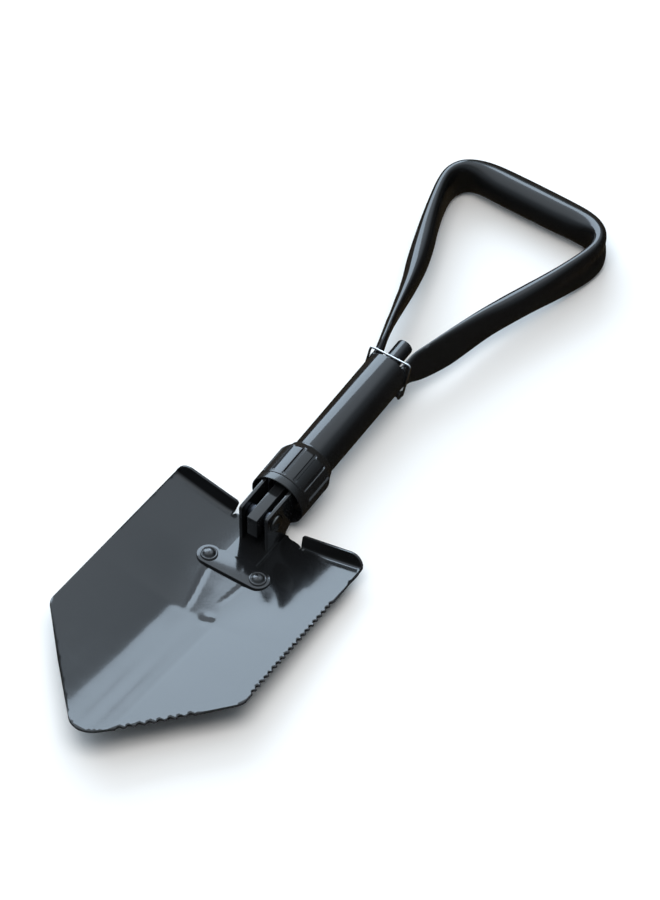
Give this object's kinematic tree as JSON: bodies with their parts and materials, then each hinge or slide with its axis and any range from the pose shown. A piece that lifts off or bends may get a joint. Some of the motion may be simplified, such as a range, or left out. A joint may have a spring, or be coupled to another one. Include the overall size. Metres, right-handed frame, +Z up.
{
  "type": "folding camp shovel",
  "caption": "Folding camp shovel: dished pointed blade with saw teeth on one edge, locked by a screw collar, on a tube shaft with a fold-down D-handle.",
  "frame": {"origin": "middle of the underside of the whole shovel's bounding box as it lies on its back, hollow face up", "axes": "+Y along the shovel from the blade's tip to the D-handle's grip, +Z up out of the blade's hollow face, +X across the blade to its toothed side"},
  "size_m": [0.1578, 0.5756, 0.045],
  "materials": {
    "black_paint": "glossy black enamel over pressed steel",
    "handle_paint": "glossy black enamel over crushed steel tube",
    "collar_black": "satin-gloss black",
    "rivet_paint": "glossy black enamel",
    "stud_paint": "glossy black enamel",
    "thread_steel": "oiled turned steel",
    "pin_steel": "dark bright-edged steel",
    "spring_steel": "drawn spring wire",
    "wire_steel": "bright plated wire"
  },
  "bodies": {
    "shaft": {"shaft_tube": "black_paint", "threaded_sleeve": "thread_steel", "sleeve_cross_pin": "thread_steel", "hinge_tongue": "black_paint", "upper_end_plug": "black_paint", "spring_seat": "thread_steel", "handle_pivot_pin": "pin_steel"},
    "blade": {"blade": "black_paint", "blade_bracket": "black_paint", "blade_rivet_left": "rivet_paint", "blade_rivet_right": "rivet_paint", "rivet_washer_left": "rivet_paint", "rivet_washer_right": "rivet_paint", "blade_hinge_pin": "pin_steel", "hinge_spacer_left": "black_paint", "hinge_spacer_right": "black_paint"},
    "collar_ring": {"collar_front_ring": "collar_black"},
    "collar": {"collar_sleeve": "collar_black", "collar_insert_nut": "collar_black"},
    "handle": {"handle_tube": "handle_paint"},
    "plunger": {"lock_plunger": "stud_paint", "lock_spring": "spring_steel"},
    "bail": {"wire_bail": "wire_steel"}
  },
  "joints": [
    {"name": "blade_fold", "type": "hinge", "parent": "shaft", "child": "blade", "pos_m": [0, -0.06944, 0.02666], "axis": [-1, 0, 0], "range_deg": [0, 170]},
    {"name": "collar_slide", "type": "slide", "parent": "shaft", "child": "collar_ring", "axis": [0, 1, 0.0026], "range_m": [0, 0.018]},
    {"name": "collar_spin", "type": "hinge", "parent": "collar_ring", "child": "collar", "pos_m": [0, -0.03494, 0.02425], "axis": [0, 1, 0.0026], "range_deg": [0, 1620]},
    {"name": "handle_fold", "type": "hinge", "parent": "shaft", "child": "handle", "pos_m": [0, 0.07839, 0.01455], "axis": [-1, 0, 0], "range_deg": [0, 170]},
    {"name": "plunger_push", "type": "slide", "parent": "shaft", "child": "plunger", "axis": [0, -1, -0.0026], "range_m": [0, 0.008], "stiffness_N_per_m": 300, "deforming": ["lock_spring"]},
    {"name": "bail_swing", "type": "hinge", "parent": "shaft", "child": "bail", "pos_m": [0, 0.07839, 0.01455], "axis": [1, 0, 0], "range_deg": [0, 8]}
  ],
  "couplings": [
    {"joint": "collar_spin", "follows": "collar_slide", "rad_per_m": 1570.8}
  ]
}
